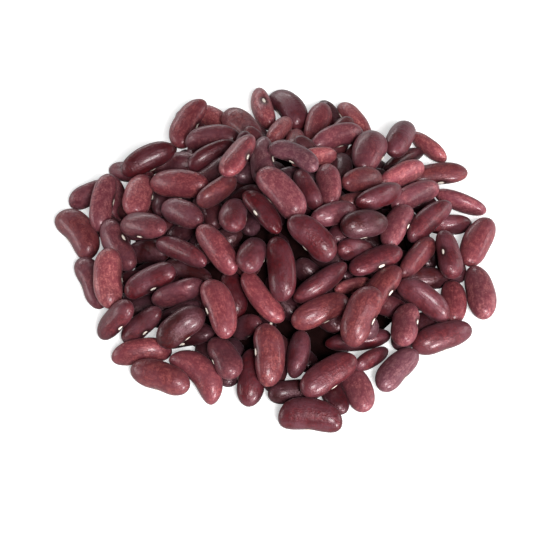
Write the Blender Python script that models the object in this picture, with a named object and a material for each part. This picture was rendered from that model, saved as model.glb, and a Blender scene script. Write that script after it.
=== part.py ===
"""A heap of dried kidney beans, lying as poured on a flat surface.

Metres, +Z up. The origin is the middle of the heap's underside, and +Y is the side that lies
farthest from the eye in the view that the bean table is read in.
"""
import math
from collections import namedtuple

import bmesh
import bpy
import numpy as np

MM = 0.001
SEED = 7

# One bean: its own x runs along it, y across it towards its hollow side, z through it
BEAN_LENGTH = 16.8 * MM
BEAN_WIDTH = 7.4 * MM
BEAN_THICKNESS = 5.8 * MM
BEAN_BOW = 0.8 * MM
# Straight beans taper to their ends and bent ones stay thick: the power of the taper's curve
STRAIGHT_BLUNTNESS = 2.4
BENT_BLUNTNESS = 1.5
MOST_BLUNTNESS = 4.2
TAPERS = (-0.1, 0.1)

# The mound that the middles of the outermost beans lie on
MOUND_HALF_WIDTH = 56.0 * MM
MOUND_HALF_DEPTH = 56.0 * MM
MOUND_TOP = 26.0 * MM
MOUND_ROUNDING = 0.45
LYING_HEIGHT = BEAN_THICKNESS / 2

# The balls that stand for a bean where beans touch: how far along it, how wide apart, how large
BALLS_ALONG = 0.38
BALLS_APART = 0.95
BALL_SHARE = 0.98

# The beans that fill the gaps, and how beans that overlap are moved apart
FILL_ROUNDS = 2
FILL_STEP = 4.0 * MM
FILL_LAYERS = 6
FILL_TOP = 4.5 * MM
FILL_DEPTH = 14.0 * MM
FILL_SHARE = 0.95
FILL_GAP = 3.9 * MM
FILL_HEADINGS = 10
FILL_CLEAR = 4.2 * MM
FILL_OUTLINE = 4.8 * MM
FILL_FLATNESS = 0.6
FILL_ROLL = 0.6
FILL_SIZES = (0.92, 1.04)
FILL_GIRTHS = (0.88, 1.05)
FILL_BOWS = (0.1, 0.8)
LOOSENING_STEPS = 60
SETTLING_STEPS = 110
CLOSING_STEPS = 200
SEEN_GIVE = 0.3
TURN_REACH = 4.2 * MM
MOST_TURN = 0.1
PUSH_SHARE = 1.6
SINK = 0.05 * MM
PAIRS_EVERY = 8
PAIR_REACH = 1.05 * BEAN_LENGTH
# How far beans go back in each step towards their first place: across the line of sight,
# less so while the heap closes up, along it, and in their lie; and how far the fill goes back
HOLD_ACROSS = 0.2
HOLD_CLOSING = 0.08
HOLD_ALONG = 0.01
HOLD_LIE = 0.06
HOLD_FILL = 0.02

# The view that the bean table is read in: from the front, looking down
VIEW_ELEVATION = math.radians(51)
VIEW_DISTANCE = 0.6
VIEW_TARGET = np.array((0.1, -8.9, 0.0)) * MM
VIEW_SCALE = 2160.0
VIEW_MIDDLE = 277.0
VIEW_RIGHT = np.array((1.0, 0.0, 0.0))
VIEW_FORWARD = np.array((0.0, math.cos(VIEW_ELEVATION), -math.sin(VIEW_ELEVATION)))
VIEW_UP = np.cross(VIEW_RIGHT, VIEW_FORWARD)
EYE = VIEW_TARGET - VIEW_DISTANCE * VIEW_FORWARD
SIGHT_START = 2 * MOUND_TOP
SIGHT_STEPS = 1200
# How far the seen beans' sizes and girths depart from the plain bean's
SEEN_SIZES = (0.86, 1.1)
SEEN_GIRTHS = (0.72, 1.22)
# The dark edge of a bean on either side, which the seen widths leave out, in pixels
SEEN_EDGE = 0.6

# The solid's beans have few sides. Their rings are larger, to hold as much as the round bean does
SOLID_SIDES = 8
SOLID_RINGS = 5
SOLID_SWELL = 0.25 * MM
SOLID_FULLNESS = math.sqrt(math.tau / (SOLID_SIDES * math.sin(math.tau / SOLID_SIDES)))
LEAST_HEIGHT = 0.1 * MM

# The core under the outermost beans, and how deep those lie at most
CORE_DROP = 3.5 * MM
CORE_SHARE = 0.9
CORE_EDGE = 0.3
CORE_SIDES = 40
CORE_RINGS = 9
FUSED_DEPTH = 6.5 * MM

# A bean as seen: its middle across and down the view, the turn of its long axis with the
# hollow side on the right, its seen length and width, its roll (90 shows the hollow side,
# -90 the back), how far it lies above the mound in mm and how bent it is
Seen = namedtuple("Seen", "across down turn length width roll lift bow")
SEEN_BEANS = [Seen(*row) for row in (
    # Upper left
    (188, 125, 56, 52, 24, 30, 0, 0.9),
    (148, 160, 30, 59, 25, 5, 4, 0.4),
    (132, 174, -10, 46, 18, 0, 0, 0.3),
    (104, 203, 90, 51, 23, 0, 3, 0.3),
    (93, 197, 35, 44, 22, 0, -4, 0.3),
    (115, 201, -78, 44, 20, 0, -3, 0.3),
    (139, 197, 72, 46, 28, 10, 0, 0.2),
    (179, 185, 3, 59, 28, 0, 0, 0.1),
    (178, 167, -5, 50, 24, 0, -3, 0.3),
    # Top
    (263, 110, 97, 42, 20, 80, 0, 0.2),
    (288, 109, -48, 50, 26, 15, 0, 0.8),
    (243, 129, -40, 46, 27, 0, -1, 0.3),
    (214, 122, 0, 32, 22, 0, -3, 0.2),
    (213, 139, 5, 56, 23, 0, 0, 0.8),
    (213, 155, 24, 56, 20, -30, 1, 0.5),
    (238, 157, 52, 52, 23, 45, 4, 0.3),
    (218, 192, 35, 48, 22, -50, 0, 0.2),
    (263, 163, 97, 54, 24, 20, 0, 0.4),
    (279, 132, 35, 40, 18, -60, -3, 0.2),
    (296, 140, 80, 30, 16, 0, -4, 0.1),
    (281, 194, -50, 63, 31, 0, 2, 0.4),
    (295, 156, -25, 54, 20, 30, 3, 0.9),
    (314, 158, 8, 46, 19, -20, 0, 0.2),
    (318, 128, 75, 46, 26, 0, -3, 0.2),
    (337, 138, 15, 54, 23, 0, 0, 0.7),
    (354, 124, -38, 50, 21, -50, -1, 0.5),
    # Upper right
    (369, 153, 65, 41, 32, 0, 2, 0.2),
    (400, 139, 50, 41, 26, 0, 4, 0.2),
    (426, 150, -32, 44, 17, -60, -1, 0.2),
    (403, 160, 14, 46, 16, -60, -3, 0.3),
    (401, 176, 22, 52, 22, -20, 0, 0.2),
    (437, 177, -5, 50, 21, 40, -1, 0.2),
    (361, 180, 10, 40, 24, 0, 0, 0.2),
    (379, 197, 15, 48, 21, -40, 1, 0.2),
    (415, 197, 32, 49, 23, -20, 1, 0.2),
    (460, 204, -30, 54, 18, -60, 0, 0.3),
    (329, 186, -82, 42, 24, -20, 0, 0.2),
    (308, 190, -56, 46, 20, -60, 0, 0.2),
    # Middle
    (234, 216, 75, 33, 31, 0, 0, 0.2),
    (264, 211, -50, 54, 21, 50, 0, 0.5),
    (312, 237, -45, 60, 29, 0, 2, 0.4),
    (334, 214, 12, 46, 22, -20, 0, 0.2),
    (217, 249, -53, 58, 25, -40, 0, 0.4),
    (254, 255, 60, 35, 32, 0, 1, 0.1),
    (280, 269, -80, 66, 28, -20, 1, 0.4),
    (322, 284, 38, 63, 21, -80, 0, 0.1),
    (262, 297, 127, 64, 22, -30, 0, 0.6),
    (218, 310, -79, 65, 29, 15, 2, 0.5),
    (320, 311, 28, 63, 27, 0, 1, 0.2),
    # Right
    (364, 225, 5, 47, 30, 0, 2, 0.1),
    (397, 225, 62, 46, 24, 20, 0, 0.3),
    (427, 221, 37, 56, 23, -20, 1, 0.3),
    (448, 227, -15, 44, 20, -40, -3, 0.2),
    (475, 245, 52, 50, 28, 0, 0, 0.2),
    (447, 257, -72, 50, 24, 70, 0, 0.6),
    (418, 258, 44, 56, 21, -40, 1, 0.3),
    (479, 293, -72, 55, 28, 0, 0, 0.2),
    (374, 261, 20, 56, 22, 50, -1, 0.4),
    (357, 251, -15, 42, 24, 0, -1, 0.3),
    (352, 286, -5, 38, 16, -40, -4, 0.2),
    (379, 291, 58, 62, 26, 25, 0, 0.3),
    (361, 317, 65, 62, 32, 15, 4, 0.4),
    (424, 301, -40, 62, 25, -30, 2, 0.7),
    (452, 303, -85, 44, 25, 0, -3, 0.3),
    (406, 326, 80, 44, 26, 30, 0, 0.3),
    (442, 338, 12, 59, 27, 0, 0, 0.2),
    # Lower right
    (396, 371, 50, 56, 27, 0, 0, 0.4),
    (358, 391, -75, 48, 30, 0, 0, 0.2),
    (371, 360, 35, 42, 16, -60, -3, 0.2),
    (358, 340, 7, 67, 21, -80, -3, 0.1),
    (328, 376, 32, 66, 30, 0, 2, 0.2),
    # Lower middle
    (269, 356, -88, 65, 30, 25, 2, 0.4),
    (298, 355, -98, 49, 22, -80, 0, 0.2),
    (311, 417, -4, 65, 31, 0, 0, 0.9),
    (295, 393, -12, 50, 23, 0, -3, 0.3),
    (250, 378, -88, 61, 27, 0, 0, 0.2),
    (226, 358, -60, 46, 28, 20, 1, 0.4),
    (199, 374, -47, 66, 27, -10, 1, 1.7),
    # Deep between the others
    (246, 328, 20, 34, 22, 0, -5, 0.3),
    (234, 294, -80, 50, 24, 0, -5, 0.3),
    (188, 272, -20, 52, 20, 0, -5, 0.3),
    (148, 254, 0, 44, 24, 0, -5, 0.3),
    (426, 280, -10, 46, 22, 0, -5, 0.3),
    (390, 309, -40, 46, 22, 0, -5, 0.3),
    # Left
    (161, 378, -14, 61, 30, 0, 0, 0.2),
    (142, 353, 22, 59, 25, -10, 0, 0.6),
    (181, 328, 38, 56, 29, 0, 1, 0.3),
    (143, 325, 38, 50, 22, 45, 0, 0.4),
    (116, 320, 55, 44, 23, 45, 0, 0.3),
    (178, 294, 17, 56, 22, -60, 0, 0.3),
    (151, 282, 22, 55, 24, 35, 1, 0.7),
    (110, 280, 84, 61, 29, 0, 4, 0.3),
    (94, 282, -62, 52, 26, 0, -1, 0.4),
    (80, 235, -50, 56, 30, 0, 0, 0.9),
    (118, 247, 111, 54, 24, 50, 0, 0.5),
    (143, 228, -4, 47, 25, 30, 2, 0.2),
    (182, 251, -28, 56, 21, -30, 0, 0.2),
    (183, 214, -20, 44, 26, -10, 0, 0.1),
)]


def unit(vectors):
    """Vectors scaled to length 1, along the last axis."""
    length = np.linalg.norm(vectors, axis=-1, keepdims=True)
    return vectors / np.maximum(length, 1e-12)


def mound_height(x, y):
    """Height of the mound's surface: rounded on top, straight down its sides."""
    far = np.sqrt((x / MOUND_HALF_WIDTH) ** 2 + (y / MOUND_HALF_DEPTH) ** 2 + MOUND_ROUNDING ** 2)
    rim = math.sqrt(1 + MOUND_ROUNDING ** 2)
    share = np.maximum((rim - far) / (rim - MOUND_ROUNDING), 0)
    return LYING_HEIGHT + (MOUND_TOP - LYING_HEIGHT) * share


def mound_normal(x, y):
    """Direction straight out of the mound's surface."""
    step = 0.5 * MM
    slope_x = (mound_height(x + step, y) - mound_height(x - step, y)) / (2 * step)
    slope_y = (mound_height(x, y + step) - mound_height(x, y - step)) / (2 * step)
    return unit(np.stack([-slope_x, -slope_y, np.ones_like(slope_x)], axis=-1))


def axes_from(heading, side):
    """A bean's three axes, as columns."""
    return np.stack([heading, side, np.cross(heading, side)], axis=-1)


def seen_place(bean):
    """Where the line of sight to a bean first meets the mound, lifted as the bean is."""
    across = VIEW_RIGHT * (bean.across - VIEW_MIDDLE)
    down = VIEW_UP * (VIEW_MIDDLE - bean.down)
    sight = unit(VIEW_FORWARD * VIEW_SCALE + across + down)
    height = np.linspace(SIGHT_START, LYING_HEIGHT, SIGHT_STEPS)
    line = EYE + sight * ((height - EYE[2]) / sight[2])[:, None]
    surface = mound_height(line[:, 0], line[:, 1]) + bean.lift * MM
    met = height <= np.maximum(surface, LYING_HEIGHT) + 1e-9
    return line[np.argmax(met)]


def seen_lie(bean, place):
    """A seen bean's axes, size and girth, from its turn, its seen length and width and its roll."""
    to_eye = unit(EYE - place)
    turn = math.radians(bean.turn)
    roll = math.radians(bean.roll)
    scale = VIEW_SCALE / np.dot(place - EYE, VIEW_FORWARD)
    full = BEAN_LENGTH * scale
    wide = scale * math.hypot(BEAN_WIDTH * math.cos(roll), BEAN_THICKNESS * math.sin(roll))
    end = scale * math.hypot(BEAN_THICKNESS * math.cos(roll), BEAN_WIDTH * math.sin(roll))
    flat = math.cos(turn) * VIEW_RIGHT + math.sin(turn) * VIEW_UP
    flat = unit(flat - np.dot(flat, to_eye) * to_eye)
    # Its size is such that it lies along the mound's slope, as far as sizes allow. Then it tilts
    normal = mound_normal(place[0], place[1])
    rise = -np.dot(flat, normal) / np.dot(to_eye, normal)
    lying = math.hypot(full, rise * end) / math.hypot(1, rise)
    size = min(max(bean.length / lying, SEEN_SIZES[0]), SEEN_SIZES[1])
    length = bean.length / size
    share = math.sqrt(min(max(length ** 2 - end ** 2, 0) / (full ** 2 - end ** 2), 1))
    heading = unit(share * flat + math.copysign(math.sqrt(1 - share ** 2), rise) * to_eye)
    face = unit(to_eye - np.dot(to_eye, heading) * heading)
    side = np.cross(heading, face)
    side = side * math.cos(roll) + face * math.sin(roll)
    girth = (bean.width + 2 * SEEN_EDGE) / (size * wide)
    girth = min(max(girth, SEEN_GIRTHS[0]), SEEN_GIRTHS[1])
    return axes_from(heading, side), size, girth


def contact_balls(heap):
    """Balls that stand for every bean where beans touch: their middles and radii."""
    end = BEAN_LENGTH / 2
    rows = []
    for x, width in ((0.0, 1.0), (BALLS_ALONG * end, BALLS_APART), (-BALLS_ALONG * end, BALLS_APART)):
        radius = BEAN_THICKNESS / 2 * (BALL_SHARE if x else 1.0)
        apart = BEAN_WIDTH / 2 * width - radius
        rows += [(x, apart, radius), (x, -apart, radius)]
    radius = BEAN_THICKNESS / 2 * BALL_SHARE
    rows += [(end - radius, 0, radius), (radius - end, 0, radius)]
    x, apart, radius = np.array(rows).T
    y = apart * heap.girth[:, None] + bow_at(x) * heap.bow[:, None]
    local = np.stack([np.broadcast_to(x, y.shape), y, np.zeros_like(y)], axis=-1)
    middles = np.einsum("nij,nkj->nki", heap.axes, local * heap.size[:, None, None])
    return heap.place[:, None] + middles, radius * (heap.girth * heap.size)[:, None]


def bow_at(x):
    """How far a bean's centre line is bent aside at x along it."""
    return BEAN_BOW * (2 * (x / (BEAN_LENGTH / 2)) ** 2 - 0.7)


def bluntness(bow):
    """How blunt a bean's ends are, from how bent it is."""
    return np.minimum(STRAIGHT_BLUNTNESS + BENT_BLUNTNESS * bow, MOST_BLUNTNESS)


def bean_ends(place, heading):
    """The two ends of the line that runs through a bean."""
    reach = heading * (BEAN_LENGTH - BEAN_THICKNESS) / 2
    return place - reach, place + reach


def line_distance(points, ends):
    """Distance from points to the line between two ends."""
    line = ends[1] - ends[0]
    along = np.clip((points - ends[0]) @ line / (line @ line), 0, 1)
    return np.linalg.norm(points - ends[0] - along[..., None] * line, axis=-1)


def in_view(points):
    """Where points appear across the view, in metres at the distance of its target."""
    offset = points - EYE
    share = VIEW_DISTANCE / (offset @ VIEW_FORWARD)
    return np.stack([offset @ VIEW_RIGHT, offset @ VIEW_UP], axis=-1) * share[..., None]


class Heap:
    """The beans' middles, axes, sizes, girths and bows. The first ones are the seen beans."""

    def __init__(self):
        self.place = np.array([seen_place(bean) for bean in SEEN_BEANS])
        lies = [seen_lie(bean, place) for bean, place in zip(SEEN_BEANS, self.place)]
        self.axes = np.array([axes for axes, _, _ in lies])
        self.size = np.array([size for _, size, _ in lies])
        self.girth = np.array([girth for _, _, girth in lies])
        self.bow = np.array([bean.bow for bean in SEEN_BEANS])
        self.aim_place = self.place.copy()
        self.aim_axes = self.axes.copy()

    def seen(self):
        """One row for each bean: whether it is a seen one."""
        return (np.arange(len(self.place)) < len(SEEN_BEANS))[:, None]

    def add(self, place, axes, size, girth, bow):
        """Puts more beans in the heap."""
        self.place = np.concatenate([self.place, place])
        self.axes = np.concatenate([self.axes, axes])
        self.size = np.concatenate([self.size, size])
        self.girth = np.concatenate([self.girth, girth])
        self.bow = np.concatenate([self.bow, bow])
        self.aim_place = np.concatenate([self.aim_place, place])
        self.aim_axes = np.concatenate([self.aim_axes, axes])

    def keep(self, kept):
        """Takes the other beans out."""
        self.place = self.place[kept]
        self.axes = self.axes[kept]
        self.size = self.size[kept]
        self.girth = self.girth[kept]
        self.bow = self.bow[kept]
        self.aim_place = self.aim_place[kept]
        self.aim_axes = self.aim_axes[kept]


def beside_seen(heap, points, reach):
    """Whether each point lies within reach of a seen bean in the view, and whether before one."""
    flat = in_view(points)
    depth = (points - EYE) @ VIEW_FORWARD
    near = np.zeros(flat.shape[:-1], dtype=bool)
    before = near.copy()
    for place, axes in zip(heap.place[:len(SEEN_BEANS)], heap.axes):
        ends = in_view(np.array(bean_ends(place, axes[:, 0])))
        beside = line_distance(flat, ends) < reach
        near |= beside
        before |= beside & (depth < (place - EYE) @ VIEW_FORWARD)
    return near, before


def hidden_or_between(heap, place, heading):
    """Whether each bean that fills a gap covers no seen bean and stays inside the seen outline."""
    covers = beside_seen(heap, place, FILL_CLEAR)[1]
    half = BEAN_THICKNESS / 2
    reaches = (heading * BEAN_LENGTH / 2, VIEW_RIGHT * half, VIEW_UP * half)
    rim = np.stack([place + side * reach for reach in reaches for side in (-1, 1)])
    return ~covers & beside_seen(heap, rim, FILL_OUTLINE)[0].all(axis=0)


def drop_outside(heap):
    """Takes out the beans that were pushed out of the seen outline or before seen beans."""
    heap.keep(heap.seen()[:, 0] | hidden_or_between(heap, heap.place, heap.axes[:, :, 0]))


def fill_gaps(heap, draw):
    """Adds beans in the widest gaps first, in layers below the mound's surface."""
    reach = int(MOUND_HALF_WIDTH / FILL_STEP) + 1
    cells = np.arange(-reach, reach + 1)
    column, row, layer = [grid.ravel() for grid in np.meshgrid(cells, cells, np.arange(FILL_LAYERS))]
    x = (column + draw.uniform(-0.5, 0.5, column.size)) * FILL_STEP
    y = (row + draw.uniform(-0.5, 0.5, row.size)) * FILL_STEP
    z = mound_height(x, y) - FILL_TOP - layer / (FILL_LAYERS - 1) * (FILL_DEPTH - FILL_TOP)
    inside = np.hypot(x / MOUND_HALF_WIDTH, y / MOUND_HALF_DEPTH) < FILL_SHARE
    z = np.maximum(z, LYING_HEIGHT)
    spots = np.repeat(np.stack([x, y, z], axis=1)[inside], FILL_HEADINGS, axis=0)
    normals = mound_normal(spots[:, 0], spots[:, 1])
    headings = draw.normal(0, 1, spots.shape)
    steep = np.sum(headings * normals, axis=1, keepdims=True) * normals
    headings -= FILL_FLATNESS * steep
    headings[spots[:, 2] <= LYING_HEIGHT, 2] = 0
    headings = unit(headings)
    along = np.array([-1, 0, 1]) * (BEAN_LENGTH - BEAN_THICKNESS) / 2
    samples = spots[:, None] + headings[:, None] * along[:, None]
    gap = np.full(len(spots), np.inf)
    gap[samples[:, :, 2].min(axis=1) < LYING_HEIGHT] = 0
    gap[~hidden_or_between(heap, spots, headings)] = 0
    for place, axes in zip(heap.place, heap.axes):
        gap = np.minimum(gap, line_distance(samples, bean_ends(place, axes[:, 0])).min(axis=1))
    chosen = []
    while gap.max() > FILL_GAP:
        best = gap.argmax()
        chosen.append(best)
        taken = bean_ends(spots[best], headings[best])
        gap = np.minimum(gap, line_distance(samples, taken).min(axis=1))
    heading = headings[chosen]
    side = unit(np.cross(normals[chosen], heading))
    roll = draw.normal(0, FILL_ROLL, len(chosen))[:, None]
    side = side * np.cos(roll) + np.cross(heading, side) * np.sin(roll)
    forms = [draw.uniform(*span, len(chosen)) for span in (FILL_SIZES, FILL_GIRTHS, FILL_BOWS)]
    heap.add(spots[chosen], axes_from(heading, side), *forms)


def deepest_contacts(middles, radii, first, second):
    """For each pair of beans that overlap, the two balls that overlap most."""
    apart = np.linalg.norm(middles[first][:, :, None] - middles[second][:, None], axis=-1)
    overlap = (radii[first][:, :, None] + radii[second][:, None] - apart).reshape(len(first), -1)
    worst = overlap.argmax(axis=1)
    depth = overlap[np.arange(len(first)), worst]
    hit = depth > 0
    ball_a, ball_b = np.divmod(worst[hit], middles.shape[1])
    return first[hit], second[hit], ball_a, ball_b, depth[hit]


class Pushes:
    """The pushes on every bean in one step: moves, turns and how many there are."""

    def __init__(self, heap):
        self.give = np.where(heap.seen()[:, 0], SEEN_GIVE, 1.0)
        self.middle = heap.place
        self.move = np.zeros_like(heap.place)
        self.spin = np.zeros_like(heap.place)
        self.count = np.zeros(len(heap.place))

    def yielding(self, bean, point, along):
        """How readily a bean gives way when it is pushed at a point."""
        lever = np.cross(point - self.middle[bean], along)
        return self.give[bean] * (1 + np.sum(lever ** 2, axis=1) / TURN_REACH ** 2)

    def add(self, bean, point, along, amount):
        """Pushes beans along a direction, each at its point."""
        amount = (amount * self.give[bean])[:, None]
        np.add.at(self.move, bean, amount * along)
        np.add.at(self.spin, bean, amount * np.cross(point - self.middle[bean], along) / TURN_REACH ** 2)
        np.add.at(self.count, bean, 1)


def push_apart(heap, middles, radii, first, second):
    """The pushes that part overlapping beans and lift them off the ground."""
    pushes = Pushes(heap)
    bean_a, bean_b, ball_a, ball_b, depth = deepest_contacts(middles, radii, first, second)
    end_a = middles[bean_a, ball_a]
    end_b = middles[bean_b, ball_b]
    along = unit(end_a - end_b)
    point = (end_a + end_b) / 2
    amount = depth / (pushes.yielding(bean_a, point, along) + pushes.yielding(bean_b, point, along))
    pushes.add(bean_a, point, along, amount)
    pushes.add(bean_b, point, -along, amount)
    sunk = radii - middles[:, :, 2]
    lowest = sunk.argmax(axis=1)
    bean = np.nonzero(sunk.max(axis=1) > 0)[0]
    point = middles[bean, lowest[bean]]
    up = np.tile((0.0, 0.0, 1.0), (len(bean), 1))
    amount = 2 * sunk[bean, lowest[bean]] / pushes.yielding(bean, point, up)
    pushes.add(bean, point, up, amount)
    return pushes


def turned(axes, spin):
    """Axes turned about the direction of each spin, by its length in radians."""
    angle = np.linalg.norm(spin, axis=1)[:, None, None]
    x, y, z = unit(spin).T
    none = np.zeros_like(x)
    cross = np.array([[none, -z, y], [z, none, -x], [-y, x, none]]).transpose(2, 0, 1)
    return (np.eye(3) + np.sin(angle) * cross + (1 - np.cos(angle)) * (cross @ cross)) @ axes


def settle(heap, steps, hold):
    """Moves overlapping beans apart, the seen ones mostly along the line of sight."""
    pairs = np.triu_indices(len(heap.place), 1)
    to_eye = unit(EYE - heap.aim_place)
    for step in range(steps):
        if step % PAIRS_EVERY == 0:
            near = np.linalg.norm(heap.place[pairs[0]] - heap.place[pairs[1]], axis=1) < PAIR_REACH
            first, second = pairs[0][near], pairs[1][near]
        middles, radii = contact_balls(heap)
        pushes = push_apart(heap, middles, radii, first, second)
        share = PUSH_SHARE / np.maximum(pushes.count, 2)[:, None]
        place = heap.place + share * pushes.move
        astray = heap.aim_place - place
        deep = np.sum(astray * to_eye, axis=1, keepdims=True) * to_eye
        seen_back = hold * (astray - deep) + HOLD_ALONG * deep
        back = np.where(heap.seen(), seen_back, HOLD_FILL * astray)
        tilt = sum(np.cross(heap.axes[:, :, axis], heap.aim_axes[:, :, axis]) for axis in range(3)) / 2
        spin = share * pushes.spin + np.where(heap.seen(), HOLD_LIE, 0) * tilt
        spin *= np.minimum(1, MOST_TURN / np.maximum(np.linalg.norm(spin, axis=1, keepdims=True), 1e-12))
        # Beans sink along the line of sight. Rounded, so that every machine gives the same heap
        heap.place = np.round(place + back - SINK * to_eye, 9)
        heap.axes = np.round(turned(heap.axes, spin), 9)


def poured_heap(draw):
    """The seen beans and those between and under them, lying against one another."""
    heap = Heap()
    settle(heap, LOOSENING_STEPS, HOLD_ACROSS)
    for _ in range(FILL_ROUNDS):
        fill_gaps(heap, draw)
        settle(heap, SETTLING_STEPS, HOLD_ACROSS)
        drop_outside(heap)
    settle(heap, CLOSING_STEPS, HOLD_CLOSING)
    drop_outside(heap)
    return heap


def bean_point(point, width, bow, taper):
    """The place on a bean of a point on a ball of radius 1 whose z runs along the bean."""
    along = min(max(point.z, -1), 1)
    ring = math.sqrt(max(1 - along ** 2, 1e-9))
    girth = math.sqrt(max(1 - abs(along) ** bluntness(bow), 0)) * (1 + taper * along) / ring
    girth *= width
    x = along * BEAN_LENGTH / 2
    y = point.x * girth * (SOLID_FULLNESS * BEAN_WIDTH / 2 + SOLID_SWELL) + bow * bow_at(x)
    z = point.y * girth * (SOLID_FULLNESS * BEAN_THICKNESS / 2 + SOLID_SWELL)
    return x, y, z


def make_bean(heap, index, taper, collection):
    """One bean with few sides, lying in the heap."""
    form = (heap.girth[index], heap.bow[index], taper)
    shape = bmesh.new()
    bmesh.ops.create_uvsphere(shape, u_segments=SOLID_SIDES, v_segments=SOLID_RINGS, radius=1)
    for vertex in shape.verts:
        point = np.array(bean_point(vertex.co, *form)) * heap.size[index]
        vertex.co = heap.axes[index] @ point + heap.place[index]
        vertex.co.z = max(vertex.co.z, LEAST_HEIGHT)
    bmesh.ops.recalc_face_normals(shape, faces=shape.faces)
    mesh = bpy.data.meshes.new("bean")
    shape.to_mesh(mesh)
    shape.free()
    collection.objects.link(bpy.data.objects.new("bean", mesh))


def make_core():
    """The solid mound under the outermost beans, with a flat underside."""
    shape = bmesh.new()
    bmesh.ops.create_uvsphere(shape, u_segments=CORE_SIDES, v_segments=2 * CORE_RINGS, radius=1)
    ball = shape.verts[:] + shape.edges[:] + shape.faces[:]
    bmesh.ops.bisect_plane(shape, geom=ball, plane_co=(0, 0, 0), plane_no=(0, 0, -1), clear_outer=True)
    bmesh.ops.holes_fill(shape, edges=[edge for edge in shape.edges if edge.is_boundary])
    for vertex in shape.verts:
        steepness = min(vertex.co.z / CORE_EDGE, 1)
        x = vertex.co.x * MOUND_HALF_WIDTH * CORE_SHARE
        y = vertex.co.y * MOUND_HALF_DEPTH * CORE_SHARE
        vertex.co = (x, y, (float(mound_height(x, y)) - CORE_DROP) * steepness)
    bmesh.ops.recalc_face_normals(shape, faces=shape.faces)
    mesh = bpy.data.meshes.new("bean_heap")
    shape.to_mesh(mesh)
    shape.free()
    return bpy.data.objects.new("bean_heap", mesh)


def shells(shape):
    """The separate closed shells of a mesh, each as a list of faces."""
    left = set(shape.faces)
    found = []
    while left:
        shell = [left.pop()]
        for face in shell:
            for edge in face.edges:
                for other in edge.link_faces:
                    if other in left:
                        left.remove(other)
                        shell.append(other)
        found.append(shell)
    return found


def tidy_mesh(mesh):
    """Leaves one outer shell of triangles, without sealed hollows or loose scraps."""
    shape = bmesh.new()
    shape.from_mesh(mesh)
    bmesh.ops.remove_doubles(shape, verts=shape.verts, dist=0.001 * MM)
    bmesh.ops.dissolve_degenerate(shape, dist=0.001 * MM, edges=shape.edges)
    found = sorted(shells(shape), key=len)
    for shell in found[:-1]:
        bmesh.ops.delete(shape, geom=shell, context="FACES")
    bmesh.ops.triangulate(shape, faces=shape.faces)
    shape.to_mesh(mesh)
    shape.free()


def bean_skin():
    """The material of the skins: dark red, with a dull shine."""
    material = bpy.data.materials.new("bean_skin")
    material.use_nodes = True
    shader = material.node_tree.nodes["Principled BSDF"]
    shader.inputs["Base Color"].default_value = (0.14, 0.035, 0.04, 1)
    shader.inputs["Roughness"].default_value = 0.45
    shader.inputs["Metallic"].default_value = 0
    return material


def main():
    for thing in list(bpy.data.objects):
        bpy.data.objects.remove(thing)
    draw = np.random.default_rng(SEED)
    heap = poured_heap(draw)
    tapers = draw.uniform(*TAPERS, len(heap.place))
    collection = bpy.data.collections.new("Dried kidney beans")
    bpy.context.scene.collection.children.link(collection)
    loose = bpy.data.collections.new("Beans to fuse")
    bpy.context.scene.collection.children.link(loose)
    below = mound_height(heap.place[:, 0], heap.place[:, 1]) - heap.place[:, 2]
    for index in np.nonzero(below < FUSED_DEPTH)[0]:
        make_bean(heap, index, tapers[index], loose)
    core = make_core()
    collection.objects.link(core)
    joining = core.modifiers.new("Beans", "BOOLEAN")
    joining.operation = "UNION"
    joining.operand_type = "COLLECTION"
    joining.collection = loose
    joining.solver = "EXACT"
    solid = bpy.data.meshes.new_from_object(core.evaluated_get(bpy.context.evaluated_depsgraph_get()))
    core.modifiers.clear()
    core.data = solid
    for bean in list(loose.objects):
        bpy.data.objects.remove(bean)
    bpy.data.collections.remove(loose)
    tidy_mesh(solid)
    solid.materials.clear()
    solid.materials.append(bean_skin())


main()
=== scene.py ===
"""Looks of a heap of dried kidney beans, lying as poured on a flat surface.

The beans lie where part.py puts them: the section that places them, up to poured_heap, is the same
there, apart from the tones in the table. Metres, +Z up. Every bean has its own form, its eye and
its own tone of skin.
"""
import math
from collections import namedtuple

import bpy
import numpy as np
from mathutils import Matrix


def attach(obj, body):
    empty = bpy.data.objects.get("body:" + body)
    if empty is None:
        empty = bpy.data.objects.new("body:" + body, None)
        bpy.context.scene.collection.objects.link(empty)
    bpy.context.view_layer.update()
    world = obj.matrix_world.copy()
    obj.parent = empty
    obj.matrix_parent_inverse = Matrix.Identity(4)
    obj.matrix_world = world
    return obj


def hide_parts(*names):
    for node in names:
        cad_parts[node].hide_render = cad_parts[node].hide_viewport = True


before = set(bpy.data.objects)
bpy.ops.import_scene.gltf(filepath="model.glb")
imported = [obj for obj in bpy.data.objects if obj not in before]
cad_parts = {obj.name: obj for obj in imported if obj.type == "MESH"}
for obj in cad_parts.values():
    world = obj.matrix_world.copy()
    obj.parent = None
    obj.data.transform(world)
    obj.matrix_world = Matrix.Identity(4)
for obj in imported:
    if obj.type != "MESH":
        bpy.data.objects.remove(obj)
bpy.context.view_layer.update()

MM = 0.001
SEED = 7

# One bean: its own x runs along it, y across it towards its hollow side, z through it
BEAN_LENGTH = 16.8 * MM
BEAN_WIDTH = 7.4 * MM
BEAN_THICKNESS = 5.8 * MM
BEAN_BOW = 0.8 * MM
# Straight beans taper to their ends and bent ones stay thick: the power of the taper's curve
STRAIGHT_BLUNTNESS = 2.4
BENT_BLUNTNESS = 1.5
MOST_BLUNTNESS = 4.2
TAPERS = (-0.1, 0.1)

# The mound that the middles of the outermost beans lie on
MOUND_HALF_WIDTH = 56.0 * MM
MOUND_HALF_DEPTH = 56.0 * MM
MOUND_TOP = 26.0 * MM
MOUND_ROUNDING = 0.45
LYING_HEIGHT = BEAN_THICKNESS / 2

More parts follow.
